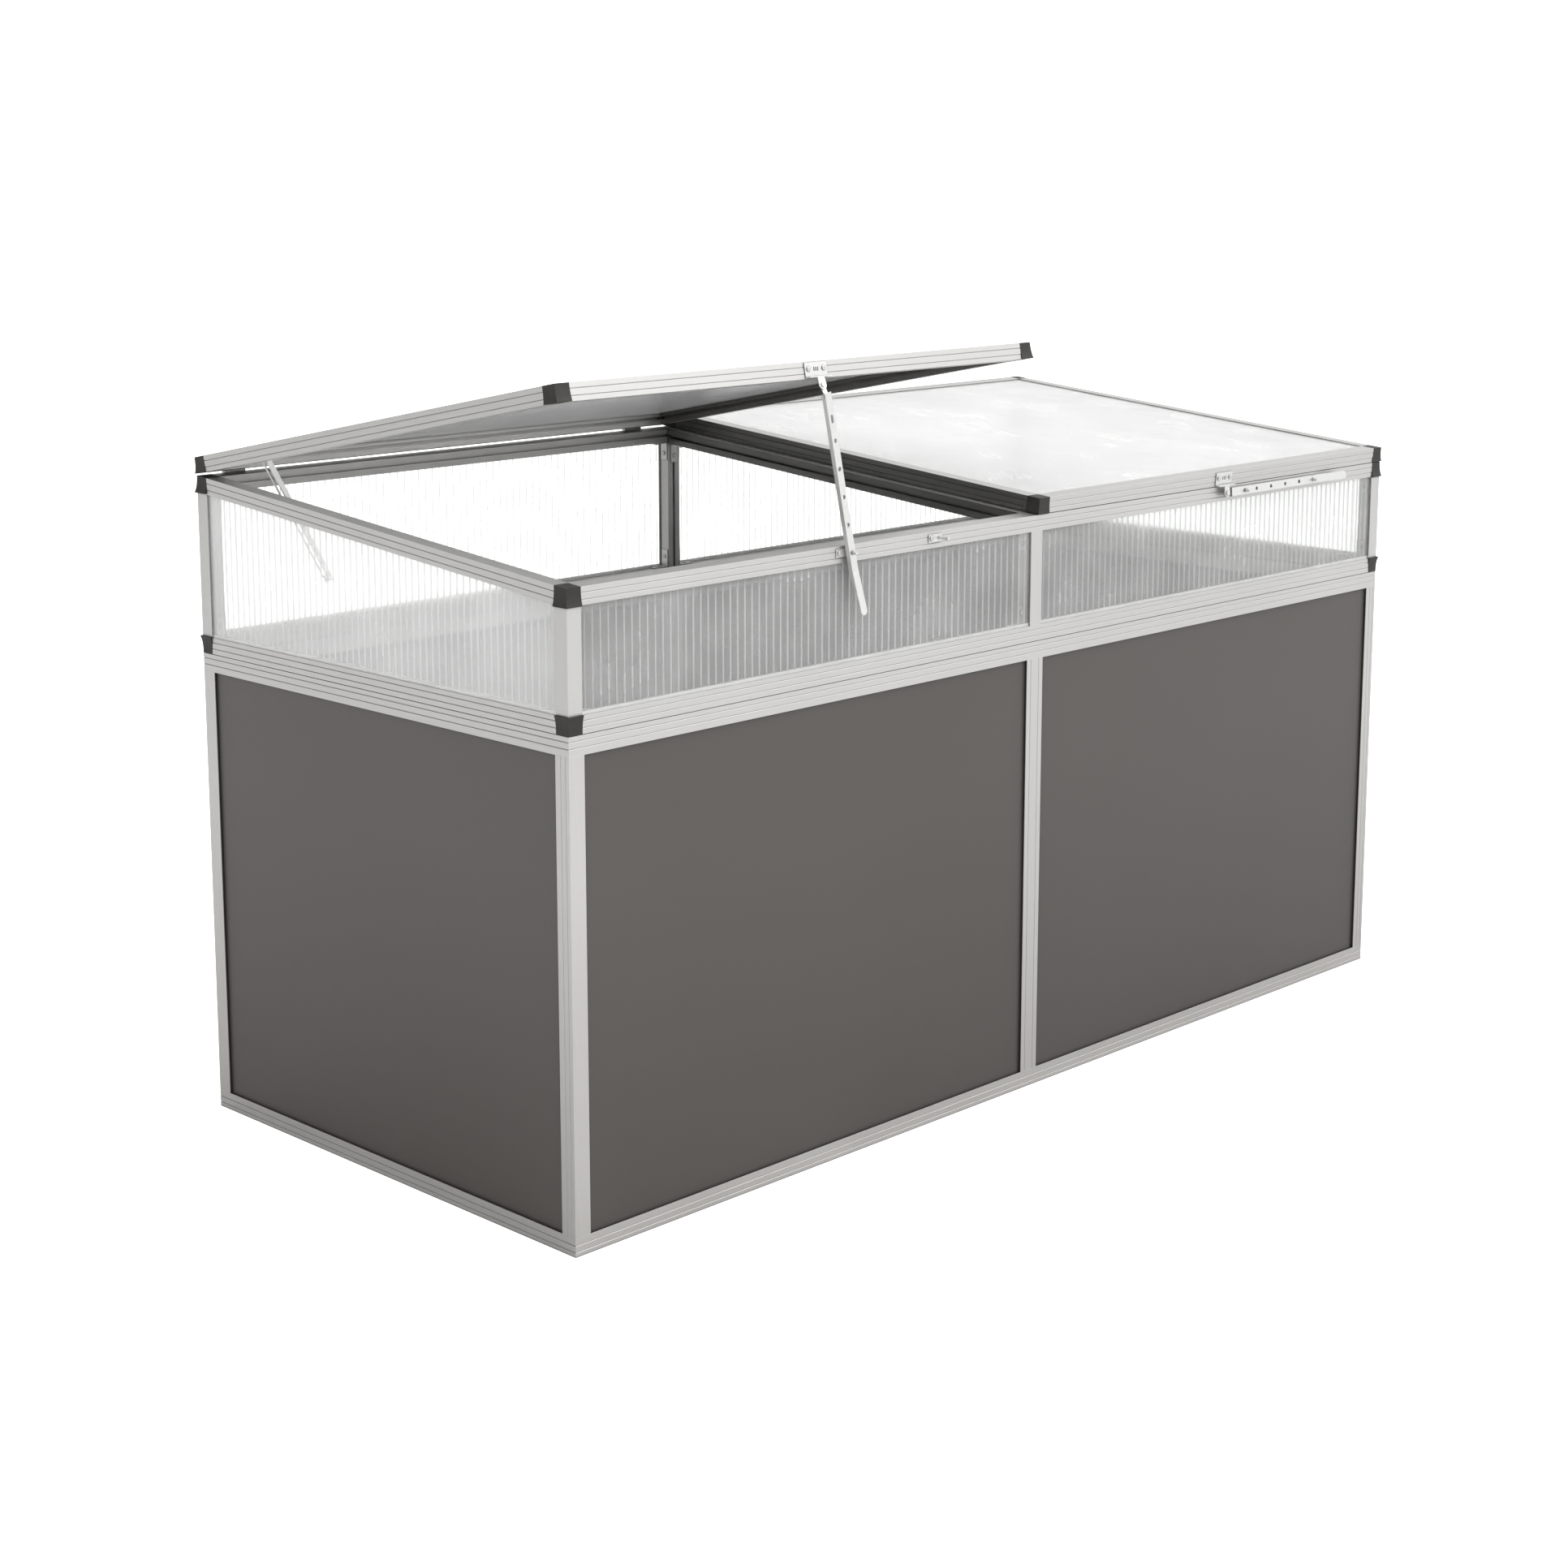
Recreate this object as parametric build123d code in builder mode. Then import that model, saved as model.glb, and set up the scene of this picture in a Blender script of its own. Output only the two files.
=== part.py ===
from build123d import *

import os
from math import atan2, cos, radians, sin, tan

# A cold frame with two hinged lids, on a raised planter base. Millimetres, +Z up, +Y to the back.
# The origin is on the ground under the middle of the base.
# The left lid is propped open by its front stay, and the right lid is closed.

# Overall size
length = 2000
width = 880
base_height = 755
front_height = 961.5
back_height = 1038

# Base bars and panels
base_bar = 28.5
base_mid_width = 39.3
base_lip = 1.2
base_slot = 9
panel_thickness = 3
panel_setback = 4.7
cleat_size = 12
cleat_leg = 70
cleat_inset = 5

# Bars of the glazed frame and the lids
bar = 26
mid_width = 28
wall = 1.6
slot_depth = 8
tuck = 6
glass_lip = 2.6
glass_slot = 4.8
t_opening = 5
t_width = 10
groove = 1.1
groove_offsets = (7.5, 17.5)
frame_seam = 1
connector_height = 27
connector_flare = 3.2
lid_connector_flare = 2
spigot_length = 22
spigot_slack = 0.4

# Twin-wall sheet
glass_thickness = 4
glass_setback = 3
glass_rise = 20
flute_pitch = 14.7
flute_skin = 0.6
flute_rib = 0.8

# Angle brackets and their screws
angle_leg = 32
angle_metal = 2
angle_width = 15
angle_screw = 20
base_angle_setback = 19.5
frame_angle_setback = 17
screw_radius = 2
screw_head_radius = 3.8
screw_head_height = 2
screw_bite = 4

# Lids and hinges
lid_gap = 6
lid_seam = 1.2
lid_opening = 16.228
hinge_back = 5
hinge_rise = 2
hinge_inset = 72
hinge_length = 40
barrel_radius = 4
barrel_gap = 0.4
pin_radius = 2
running_fit = 0.08
leaf_metal = 2
leaf_drop = 25

# Front stays: a bracket on the lid, a swivel link and a channel arm that drops over a peg
stay_shift = 3
bracket_half = 23
bracket_top = 24
bracket_low = 1
bracket_reach = 10.2
stay_metal = 1.6
pivot_front = 11.2
pivot_drop = 10.8
pivot_lean = 10
lug_half = 7
lug_rise = 12.6
link_length = 17
link_drop = 3.2
link_plate = (-2.6, -1)
rivet_radius = 2
cross_pin_radius = 1.6
stay_swing = 77.808
stay_tilt = 19.738
arm_half = 7
arm_web = (3.5, 5)
arm_flange = 1.2
arm_straight = 268
arm_end = 340
arm_kick = 6
arm_taper = 45
arm_edge = 2
ear_radius = 4
arm_hole_radius = 3.4
arm_slot = (13, 6.4)
peg_near = 52
peg_far = 259
hole_pitch = 43.4
hole_count = 5

# Pegs on the front rail
peg_height = 951.09
peg_radius = 2.4
peg_collar_radius = 3
peg_collar = (15, 16.5)
peg_length = 21
peg_plate = 1.5
peg_screw = 18

# Side stays: a slotted bar on each lid slides past a peg on the side rail
pivot_run = 748.55
pivot_rise = 11.27
side_peg_run = 686
side_stay_closed = -157.41
side_stay_open = -121.21
side_stay_length = 243
side_stay_half = 6
side_stay_gap = 6
side_stay_flange = 9
side_slot = (16, 232, 6.4)
side_bolt_radius = 2.4
side_peg_radius = 2.5
spacer_radius = 4.5

# Worked out from the sizes above
slope = atan2(back_height - front_height, width)
slope_rise = bar * tan(slope)
frame_foot = base_height + frame_seam
lid_length = (length - lid_gap) / 2
lid_depth = width / cos(slope)
half_length = length / 2
half_width = width / 2
web_depth = bar - slot_depth - wall
glass_core = glass_lip + glass_slot + wall
up = Vector(0, 0, 1)
slope_normal = Vector(0, -sin(slope), cos(slope))
roof = Plane((0, -half_width, front_height), x_dir=(1, 0, 0), z_dir=slope_normal)
footprint = Plane((-half_length, -half_width, 0))

os.makedirs("parts", exist_ok=True)


def save(piece, name):
    """Label a finished piece and write it as its own STEP file."""
    piece.part.label = name
    export_step(piece.part, f"parts/{name}.step")


def area(x_low, x_high, y_low, y_high, mode=Mode.ADD):
    """A rectangle of the current sketch, given by its limits."""
    with Locations(((x_low + x_high) / 2, (y_low + y_high) / 2)):
        Rectangle(x_high - x_low, y_high - y_low, mode=mode)


def cut(x_low, x_high, y_low, y_high):
    """A rectangular hollow in the current sketch."""
    area(x_low, x_high, y_low, y_high, Mode.SUBTRACT)


def block(plane, x, y, z, mode=Mode.ADD):
    """A block between (low, high) limits measured from a plane."""
    with BuildSketch(plane.offset(z[0])) as face:
        area(*x, *y)
    extrude(face.sketch, amount=z[1] - z[0], mode=mode)


def rod(plane, radius, z, centre=(0, 0), mode=Mode.ADD):
    """A round rod square to a plane, between (low, high) limits."""
    with BuildSketch(plane.offset(z[0])) as face:
        with Locations(centre):
            Circle(radius)
    extrude(face.sketch, amount=z[1] - z[0], mode=mode)


def on(frame, origin, x_dir, z_dir):
    """A plane given in another plane's own coordinates."""
    return Plane(frame * Plane(origin, x_dir=x_dir, z_dir=z_dir))


def sides_of(frame, run, depth):
    """Section planes of a rectangle's sides: x inward, y up and z along, going round anticlockwise."""
    return {
        "front": on(frame, (0, 0, 0), (0, 1, 0), (1, 0, 0)),
        "right": on(frame, (run, 0, 0), (-1, 0, 0), (0, 1, 0)),
        "back": on(frame, (run, depth, 0), (0, -1, 0), (-1, 0, 0)),
        "left": on(frame, (0, depth, 0), (1, 0, 0), (0, -1, 0)),
    }


def corners_of(frame, run, depth):
    """Planes at a rectangle's corners: x and y inward along two sides, z up."""
    return {
        "front_left": on(frame, (0, 0, 0), (1, 0, 0), (0, 0, 1)),
        "front_right": on(frame, (run, 0, 0), (0, 1, 0), (0, 0, 1)),
        "back_right": on(frame, (run, depth, 0), (-1, 0, 0), (0, 0, 1)),
        "back_left": on(frame, (0, depth, 0), (0, -1, 0), (0, 0, 1)),
    }


def overhead(side, run, height):
    """The same side from its far end with y pointing down, starting at a height."""
    return Plane(side.origin + side.z_dir * run + up * height, x_dir=side.x_dir, z_dir=side.z_dir * -1)


def run_of(side):
    """Outer length of one side of the base."""
    return length if side in ("front", "back") else width


def bays(corner, middle):
    """Openings between posts: name, side, and start and end along that side."""
    near = (length - middle) / 2
    far = (length + middle) / 2
    return {
        "front_left": ("front", corner, near),
        "front_right": ("front", far, length - corner),
        "right": ("right", corner, width - corner),
        "back_right": ("back", corner, near),
        "back_left": ("back", far, length - corner),
        "left": ("left", corner, width - corner),
    }


def grooves(offsets):
    """V grooves along the outer face, which is the sketch's y axis."""
    with Locations(*[(0, offset) for offset in offsets]):
        Rectangle(groove, groove, rotation=45, mode=Mode.SUBTRACT)


def rail_section(size, height, lip, slot, core, cap=wall):
    """Hollow rail with a panel slot at y = height; cap is the wall at y = 0."""
    area(0, size, 0, height)
    cut(wall, core, cap, height - slot_depth - wall)
    cut(lip + slot + wall, core, cap, height - wall)
    cut(lip, lip + slot, height - slot_depth, height)


def t_slot(edge, middle):
    """T-shaped slot opening at x = edge."""
    cut(edge - slot_depth, edge - wall, middle - t_width / 2, middle + t_width / 2)
    cut(edge - wall, edge, middle - t_opening / 2, middle + t_opening / 2)


def glazed_rail_section(height, cap=wall):
    """Rail of the glazed frame, with a T-slot on its inner face."""
    rail_section(bar, height, glass_lip, glass_slot, web_depth, cap)
    t_slot(bar, height - bar / 2)
    grooves([height - offset for offset in groove_offsets])


def corner_section(size, lip, slot):
    """Hollow corner post with a panel slot for each of its two sides."""
    near = size - slot_depth - wall
    inner = lip + slot + wall
    area(0, size, 0, size)
    cut(wall, near, wall, near)
    cut(inner, size - wall, inner, size - wall)
    cut(size - slot_depth, size, lip, lip + slot)
    cut(lip, lip + slot, size - slot_depth, size)


def mid_section(size, across, lip, slot, core):
    """Hollow middle post with a panel slot on each side."""
    half = across / 2
    near = half - slot_depth - wall
    area(0, size, -half, half)
    cut(wall, core, -near, near)
    cut(lip + slot + wall, core, wall - half, half - wall)
    cut(lip, lip + slot, half - slot_depth, half)
    cut(lip, lip + slot, -half, slot_depth - half)


def keep_above(point, normal):
    """Cut the part being built by a plane and keep the side its normal points to."""
    split(bisect_by=Plane(point, z_dir=normal), keep=Keep.TOP)


def mitre(side, run):
    """Cut both ends of a bar at 45 degrees, leaving the outer face full length."""
    keep_above(side.origin, side.z_dir - side.x_dir)
    keep_above(side.origin + side.z_dir * run, side.z_dir * -1 - side.x_dir)


# Base


def build_base_rail(name, side, run):
    """One mitred rail of the base."""
    with BuildPart() as rail:
        with BuildSketch(side):
            rail_section(base_bar, base_bar, base_lip, base_slot, base_bar - wall)
            grooves(groove_offsets)
        extrude(amount=run)
        mitre(side, run)
    save(rail, name)


def build_base_posts():
    """Four corner posts and two middle posts between the bottom and top rails."""
    run = base_height - 2 * base_bar
    with BuildPart() as posts:
        for corner in corners_of(footprint, length, width).values():
            with BuildSketch(corner.offset(base_bar)):
                corner_section(base_bar, base_lip, base_slot)
                grooves(groove_offsets)
            extrude(amount=run)
        for side in ("front", "back"):
            plane = sides_of(footprint, length, width)[side]
            middle = plane.origin + plane.z_dir * half_length + up * base_bar
            with BuildSketch(Plane(middle, x_dir=plane.x_dir, z_dir=up)):
                mid_section(base_bar, base_mid_width, base_lip, base_slot, base_bar - wall)
                grooves((-base_mid_width / 4, base_mid_width / 4))
            extrude(amount=run)
    save(posts, "base_posts")


def facing(side, depth):
    """Plane behind the outer face of a side: x along, y up and z outward."""
    return Plane(side.origin + side.x_dir * depth, x_dir=side.z_dir, z_dir=side.x_dir * -1)


def build_base_panels():
    """Infill panels, and the gaskets that hold them in the slots."""
    low, high = base_bar, base_height - base_bar
    sides = sides_of(footprint, length, width)
    with BuildPart() as gaskets:
        for side, start, end in bays(base_bar, base_mid_width).values():
            with BuildSketch(facing(sides[side], base_lip + base_slot)):
                area(start - slot_depth, end + slot_depth, low - slot_depth, high + slot_depth)
                cut(start, end, low, high)
            extrude(amount=base_slot)
        for side, start, end in bays(base_bar, base_mid_width).values():
            with BuildSketch(facing(sides[side], panel_setback + panel_thickness)):
                area(start - tuck, end + tuck, low - tuck, high + tuck)
            extrude(amount=panel_thickness, mode=Mode.SUBTRACT)
    save(gaskets, "base_panel_gaskets")
    for name, (side, start, end) in bays(base_bar, base_mid_width).items():
        with BuildPart() as panel:
            with BuildSketch(facing(sides[side], panel_setback + panel_thickness)):
                area(start - tuck, end + tuck, low - tuck, high + tuck)
            extrude(amount=panel_thickness)
        save(panel, f"base_panel_{name}")


def build_base_cleats():
    """L-shaped corner cleats inside the mitred rails."""
    far = cleat_inset + cleat_size
    with BuildPart() as cleats:
        for corner in corners_of(footprint, length, width).values():
            for rise in (wall + 1, base_height - wall - 1 - cleat_size):
                with BuildSketch(corner.offset(rise)):
                    area(cleat_inset, cleat_leg, cleat_inset, far)
                    area(cleat_inset, far, cleat_inset, cleat_leg)
                extrude(amount=cleat_size)
    save(cleats, "base_corner_cleats")


def angle_bracket():
    """L-shaped bracket: legs along x and y from the inner corner, centred on z."""
    half = angle_width / 2
    with BuildPart() as angle:
        block(Plane.XY, (0, angle_leg), (0, angle_metal), (-half, half))
        block(Plane.XY, (0, angle_metal), (0, angle_leg), (-half, half))
        rod(Plane.XZ, screw_radius, (-angle_metal, 0), (angle_screw, 0), Mode.SUBTRACT)
        rod(Plane.YZ, screw_radius, (0, angle_metal), (angle_screw, 0), Mode.SUBTRACT)
    return angle.part


def screw():
    """Screw whose head sits on the plane z = 0."""
    with BuildPart() as fastener:
        rod(Plane.XY, screw_head_radius, (0, screw_head_height))
        fillet(fastener.edges().group_by(Axis.Z)[-1], screw_head_height / 2)
        rod(Plane.XY, screw_radius, (-angle_metal - screw_bite, 0))
    return fastener.part


def angle_screws(seats):
    """Planes of the two screws in each angle bracket."""
    places = []
    for seat in seats:
        places.append(on(seat, (angle_screw, angle_metal, 0), (1, 0, 0), (0, 1, 0)))
        places.append(on(seat, (angle_metal, angle_screw, 0), (0, 1, 0), (1, 0, 0)))
    return places


def save_copies(piece, places, name):
    """Write one node that holds a copy of a piece at every place."""
    with BuildPart() as copies:
        with Locations(*places):
            add(piece)
    save(copies, name)


def angle_seats(side, start, end, setback, height, upward):
    """Seats of the brackets at both ends of a bay, on a rail face at a given height."""
    origin = side.origin + side.x_dir * setback + up * height
    return [
        Plane(origin + side.z_dir * start, x_dir=side.z_dir, z_dir=side.z_dir.cross(upward)),
        Plane(origin + side.z_dir * end, x_dir=side.z_dir * -1, z_dir=upward.cross(side.z_dir)),
    ]


def build_base_brackets():
    """Brackets that tie each post to the rails below and above it."""
    sides = sides_of(footprint, length, width)
    seats = []
    for side, start, end in bays(base_bar, base_mid_width).values():
        seats += angle_seats(sides[side], start, end, base_angle_setback, base_bar, up)
        seats += angle_seats(sides[side], start, end, base_angle_setback, base_height - base_bar, up * -1)
    save_copies(angle_bracket(), seats, "base_brackets")
    save_copies(screw(), angle_screws(seats), "base_screws")


# Glazed frame


def between_end_rails():
    """Trim a sloping bar to the inner faces of the front and back rails."""
    keep_above((0, bar - half_width, 0), (0, 1, 0))
    keep_above((0, half_width - bar, 0), (0, -1, 0))


def build_frame_rails():
    """Lower rails, and the front and back upper rails, which are cut to the slope."""
    sides = sides_of(footprint, length, width)
    for name, side in sides.items():
        start = side.offset(bar).origin + up * frame_foot
        with BuildPart() as rail:
            with BuildSketch(Plane(start, x_dir=side.x_dir, z_dir=side.z_dir)):
                glazed_rail_section(bar)
            extrude(amount=run_of(name) - 2 * bar)
        save(rail, f"frame_lower_rail_{name}")
    tops = {"front": (front_height + slope_rise, bar + slope_rise), "back": (back_height, bar)}
    for name, (top, height) in tops.items():
        side = overhead(sides[name], length - bar, top)
        with BuildPart() as rail:
            with BuildSketch(side):
                glazed_rail_section(height, wall + slope_rise)
            extrude(amount=length - 2 * bar)
            split(bisect_by=roof, keep=Keep.BOTTOM)
        save(rail, f"frame_upper_rail_{name}")


def build_sloping_rails():
    """Side rails and the cross rail, which follow the slope of the lids."""
    starts = {
        "left": Plane((-half_length, -half_width, front_height), x_dir=(1, 0, 0), z_dir=roof.y_dir),
        "right": Plane((half_length, half_width, back_height), x_dir=(-1, 0, 0), z_dir=roof.y_dir * -1),
    }
    for name, start in starts.items():
        with BuildPart() as rail:
            with BuildSketch(start):
                glazed_rail_section(bar)
            extrude(amount=lid_depth)
            between_end_rails()
        save(rail, f"frame_upper_rail_{name}")
    half = mid_width / 2
    with BuildPart() as rail:
        with BuildSketch(Plane((0, -half_width, front_height), x_dir=(1, 0, 0), z_dir=roof.y_dir)):
            area(-half, half, 0, bar)
            t_slot(half, bar / 2)
            cut(wall - half, slot_depth - half, (bar - t_width) / 2, (bar + t_width) / 2)
            cut(-half, wall - half, (bar - t_opening) / 2, (bar + t_opening) / 2)
            cut(slot_depth + wall - half, half - slot_depth - wall, wall, bar - wall)
        extrude(amount=lid_depth)
        between_end_rails()
    save(rail, "frame_cross_rail")


def roof_edge(name):
    """Height of the outer edge of the roof at a corner or on an end."""
    return front_height if name.startswith("front") else back_height


def build_frame_posts():
    """Corner posts between the connectors, and middle posts between the rails."""
    foot = frame_foot + connector_height
    with BuildPart() as posts:
        for name, corner in corners_of(footprint, length, width).items():
            with BuildSketch(corner.offset(foot)):
                corner_section(bar, glass_lip, glass_slot)
            extrude(amount=roof_edge(name) - connector_height - foot)
        for side in ("front", "back"):
            plane = sides_of(footprint, length, width)[side]
            middle = plane.origin + plane.z_dir * half_length + up * (frame_foot + bar)
            with BuildSketch(Plane(middle, x_dir=plane.x_dir, z_dir=up)):
                mid_section(bar, mid_width, glass_lip, glass_slot, web_depth)
                t_slot(bar, 0)
            extrude(amount=roof_edge(side) - frame_foot - 2 * bar)
    save(posts, "frame_posts")


def fluted_section(start, end, low):
    """End-on twin-wall sheet: x along the sheet, y through its thickness."""
    area(start, end, low, low + glass_thickness)
    count = int((end - start - flute_rib) / flute_pitch)
    with Locations(((start + end) / 2, low + glass_thickness / 2)):
        with GridLocations(flute_pitch, 0, count, 1):
            Rectangle(flute_pitch - flute_rib, glass_thickness - 2 * flute_skin, mode=Mode.SUBTRACT)


def build_frame_glazing():
    """Twin-wall sheets with upright flutes; the side sheets are cut to the slope."""
    sides = sides_of(footprint, length, width)
    bed = frame_foot + bar - tuck
    for name, (side, start, end) in bays(bar, mid_width).items():
        plane = sides[side]
        foot = Plane(plane.origin + up * bed, x_dir=plane.z_dir, z_dir=plane.z_dir.cross(plane.x_dir))
        with BuildPart() as sheet:
            with BuildSketch(foot):
                fluted_section(start - tuck, end + tuck, glass_setback)
            extrude(amount=back_height - bed)
            split(bisect_by=roof.offset(tuck - bar), keep=Keep.BOTTOM)
        save(sheet, f"frame_glazing_{name}")


def flared_block(plane, height, flare, widest_at_top):
    """Corner block, square inside, whose two outer faces flare out towards one end."""
    outlines = []
    for step in range(6):
        share = step / 5
        stand_out = flare * (share if widest_at_top else 1 - share) ** 3
        with BuildSketch(plane.offset(share * height)) as outline:
            area(-stand_out, bar, -stand_out, bar)
        outlines.append(outline.sketch.face())
    loft(outlines, ruled=True)


def sheet_pockets(corner, z):
    """Hollows for the corners of the two sheets that meet at a connector."""
    sheet = (glass_lip, glass_lip + glass_slot)
    block(corner, (bar - slot_depth, bar), sheet, z, Mode.SUBTRACT)
    block(corner, sheet, (bar - slot_depth, bar), z, Mode.SUBTRACT)


def rail_spigots(corner, inward, z):
    """Tongues that plug into the hollow cores of the two rails at a corner."""
    reach = (bar - wall, bar + spigot_length)
    block(corner, reach, inward, z)
    block(corner, inward, reach, z)


def build_frame_connectors():
    """Moulded corner blocks at the foot and the head of each corner post."""
    inward = (glass_core + spigot_slack, web_depth - spigot_slack)
    post = (glass_core + 1, web_depth - spigot_slack)
    with BuildPart() as blocks:
        for name, corner in corners_of(footprint, length, width).items():
            low = corner.offset(frame_foot - frame_seam / 2)
            foot_height = connector_height + frame_seam / 2
            flared_block(low, foot_height, connector_flare, True)
            rail_spigots(corner, inward, (frame_foot + 8, frame_foot + 18))
            block(low, post, post, (foot_height - wall, foot_height + spigot_length))
            sheet_pockets(low, (foot_height - slot_depth - wall, foot_height))
    with BuildPart() as heads:
        for name, corner in corners_of(footprint, length, width).items():
            head = corner.offset(roof_edge(name) - connector_height)
            flared_block(head, connector_height + slope_rise, connector_flare, False)
            rail_spigots(head, inward, (connector_height - 18, connector_height - 8))
            block(head, post, post, (-spigot_length, wall))
            sheet_pockets(head, (0, slot_depth + wall + 1))
        split(bisect_by=roof, keep=Keep.BOTTOM)
    with BuildPart() as connectors:
        add(blocks.part)
        add(heads.part)
    save(connectors, "frame_connectors")


def cross_rail_seats():
    """Seats of the two level brackets under the ends of the cross rail."""
    drop = bar / cos(slope)
    front = front_height + slope_rise - drop
    back = back_height - slope_rise - drop - angle_leg * tan(slope)
    return [
        Plane((0, bar - half_width, front), x_dir=(0, 1, 0), z_dir=(-1, 0, 0)),
        Plane((0, half_width - bar, back), x_dir=(0, -1, 0), z_dir=(1, 0, 0)),
    ]


def build_frame_brackets():
    """Brackets at the feet of the posts and under the upper rails, and all the frame's screws."""
    sides = sides_of(footprint, length, width)
    seats = cross_rail_seats()
    for side, start, end in bays(bar, mid_width).values():
        seats += angle_seats(sides[side], start, end, frame_angle_setback, frame_foot + bar, up)
        if side in ("front", "back"):
            under = roof_edge(side) - bar
            seats += angle_seats(sides[side], start, end, frame_angle_setback, under, up * -1)
    save_copies(angle_bracket(), seats, "frame_brackets")
    places = angle_screws(seats) + hinge_screws() + peg_screws()
    save_copies(screw(), places, "frame_screws")


# Hinges


hinge_axis = Plane((0, half_width + hinge_back, back_height + hinge_rise), x_dir=(0, 1, 0), z_dir=(1, 0, 0))


def hinge_places():
    """Distances along the back of each hinge centre."""
    near = hinge_inset
    far = lid_length - hinge_inset
    return [start + place for start in (-half_length, lid_gap / 2) for place in (near, far)]


def hinge_screws():
    """Planes of the screws that hold the frame leaves."""
    places = []
    for centre in hinge_places():
        for offset in (-hinge_length / 3, hinge_length / 3):
            origin = (centre + offset, half_width + leaf_metal, back_height - bar / 2)
            places.append(Plane(origin, x_dir=(1, 0, 0), z_dir=(0, 1, 0)))
    return places


def build_frame_leaves():
    """Hinge leaves on the back rail, each with two outer knuckles."""
    half = hinge_length / 2
    inner = hinge_length / 6 + barrel_gap
    top = -hinge_axis.origin.Z
    notch = barrel_radius - back_height
    low = top + leaf_drop
    back = Plane((0, half_width, 0), x_dir=(1, 0, 0), z_dir=(0, 1, 0))
    with BuildPart() as leaves:
        for centre in hinge_places():
            block(back, (centre - half, centre + half), (notch, low), (0, leaf_metal))
            for side in (-1, 1):
                span = sorted((centre + side * inner, centre + side * half))
                block(back, span, (top, notch + 1), (2 * barrel_gap, leaf_metal))
                rod(hinge_axis, barrel_radius, span)
        for centre in hinge_places():
            rod(hinge_axis, pin_radius + running_fit, (centre - half, centre + half), mode=Mode.SUBTRACT)
    with BuildPart() as drilled:
        add(leaves.part)
        for place in hinge_screws():
            rod(place, screw_radius, (-leaf_metal, 0), mode=Mode.SUBTRACT)
    save(drilled, "frame_hinge_leaves")


# Lids


def closed_lid(x_start):
    """Plane of a closed lid at its front outer corner: x along, y up the slope."""
    return Plane((x_start, -half_width, front_height + lid_seam), x_dir=(1, 0, 0), z_dir=slope_normal)


def lid_at(x_start, share):
    """Plane of a lid opened by a share of its full travel."""
    line = Location(hinge_axis.origin)
    turn = line * Rotation(-lid_opening * share, 0, 0) * line.inverse()
    return Plane(turn * closed_lid(x_start).location)


def lid_section():
    """Lid rail: x inward, y up; the sheet slot and a T-slot open on the inner face."""
    area(0, bar, 0, bar)
    cut(wall, web_depth, wall, bar - wall)
    cut(bar - slot_depth, bar, glass_rise - spigot_slack, glass_rise + glass_thickness + spigot_slack)
    t_slot(bar, pivot_rise)
    grooves(groove_offsets)


def build_lid_rails(name, lid):
    """Front and back rails in one node, side rails in another."""
    sides = sides_of(lid, lid_length, lid_depth)
    groups = {"long_rails": (("front", "back"), lid_length), "side_rails": (("left", "right"), lid_depth)}
    for group, (members, run) in groups.items():
        with BuildPart() as rails:
            for member in members:
                with BuildSketch(sides[member].offset(bar)):
                    lid_section()
                extrude(amount=run - 2 * bar)
        save(rails, f"{name}_lid_{group}")


def build_lid_glazing(name, lid):
    """Twin-wall sheet with flutes running up the slope."""
    edge = bar - tuck
    end = on(lid, (0, lid_depth - edge, 0), (1, 0, 0), (0, -1, 0))
    with BuildPart() as sheet:
        with BuildSketch(end):
            fluted_section(edge, lid_length - edge, glass_rise)
        extrude(amount=lid_depth - 2 * edge)
    save(sheet, f"{name}_lid_glazing")


def build_lid_connectors(name, lid):
    """Moulded corner blocks of a lid."""
    inner = (bar - slot_depth + spigot_slack, bar)
    rise = (glass_rise - spigot_slack, glass_rise + glass_thickness + spigot_slack)
    with BuildPart() as blocks:
        for corner in corners_of(lid, lid_length, lid_depth).values():
            flared_block(corner, bar, lid_connector_flare, False)
            rail_spigots(corner, (wall + 3, web_depth - 2), (wall + 3, bar - wall - 4))
            block(corner, inner, inner, rise, Mode.SUBTRACT)
    save(blocks, f"{name}_lid_connectors")


def lid_hinge_screws(lid):
    """Planes of the screws that hold the lid leaves."""
    places = []
    for centre in (hinge_inset, lid_length - hinge_inset):
        for offset in (-hinge_length / 3, hinge_length / 3):
            origin = (centre + offset, lid_depth + leaf_metal, bar * 0.6)
            places.append(on(lid, origin, (1, 0, 0), (0, 1, 0)))
    return places


def build_lid_leaves(name, lid, x_start):
    """Hinge leaves on the lid, each with one central knuckle on a fixed pin."""
    axis = closed_lid(x_start).to_local_coords(hinge_axis.origin)
    barrel = on(lid, (0, axis.Y, axis.Z), (0, 1, 0), (1, 0, 0))
    half = hinge_length / 2
    inner = hinge_length / 6
    with BuildPart() as leaves:
        for centre in (hinge_inset, lid_length - hinge_inset):
            face = on(lid, (centre, lid_depth, 0), (1, 0, 0), (0, 1, 0))
            block(face, (-half, half), (-bar + 2, -6), (0, leaf_metal))
            block(face, (-inner, inner), (-6.5, -axis.Z), (barrel_gap, leaf_metal))
            rod(barrel, barrel_radius, (centre - inner, centre + inner))
            rod(barrel, pin_radius, (centre - half - 1, centre + half + 1))
        for place in lid_hinge_screws(lid):
            rod(place, screw_radius, (-leaf_metal, 0), mode=Mode.SUBTRACT)
    save(leaves, f"{name}_lid_hinge_leaves")


# Front stays


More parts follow.
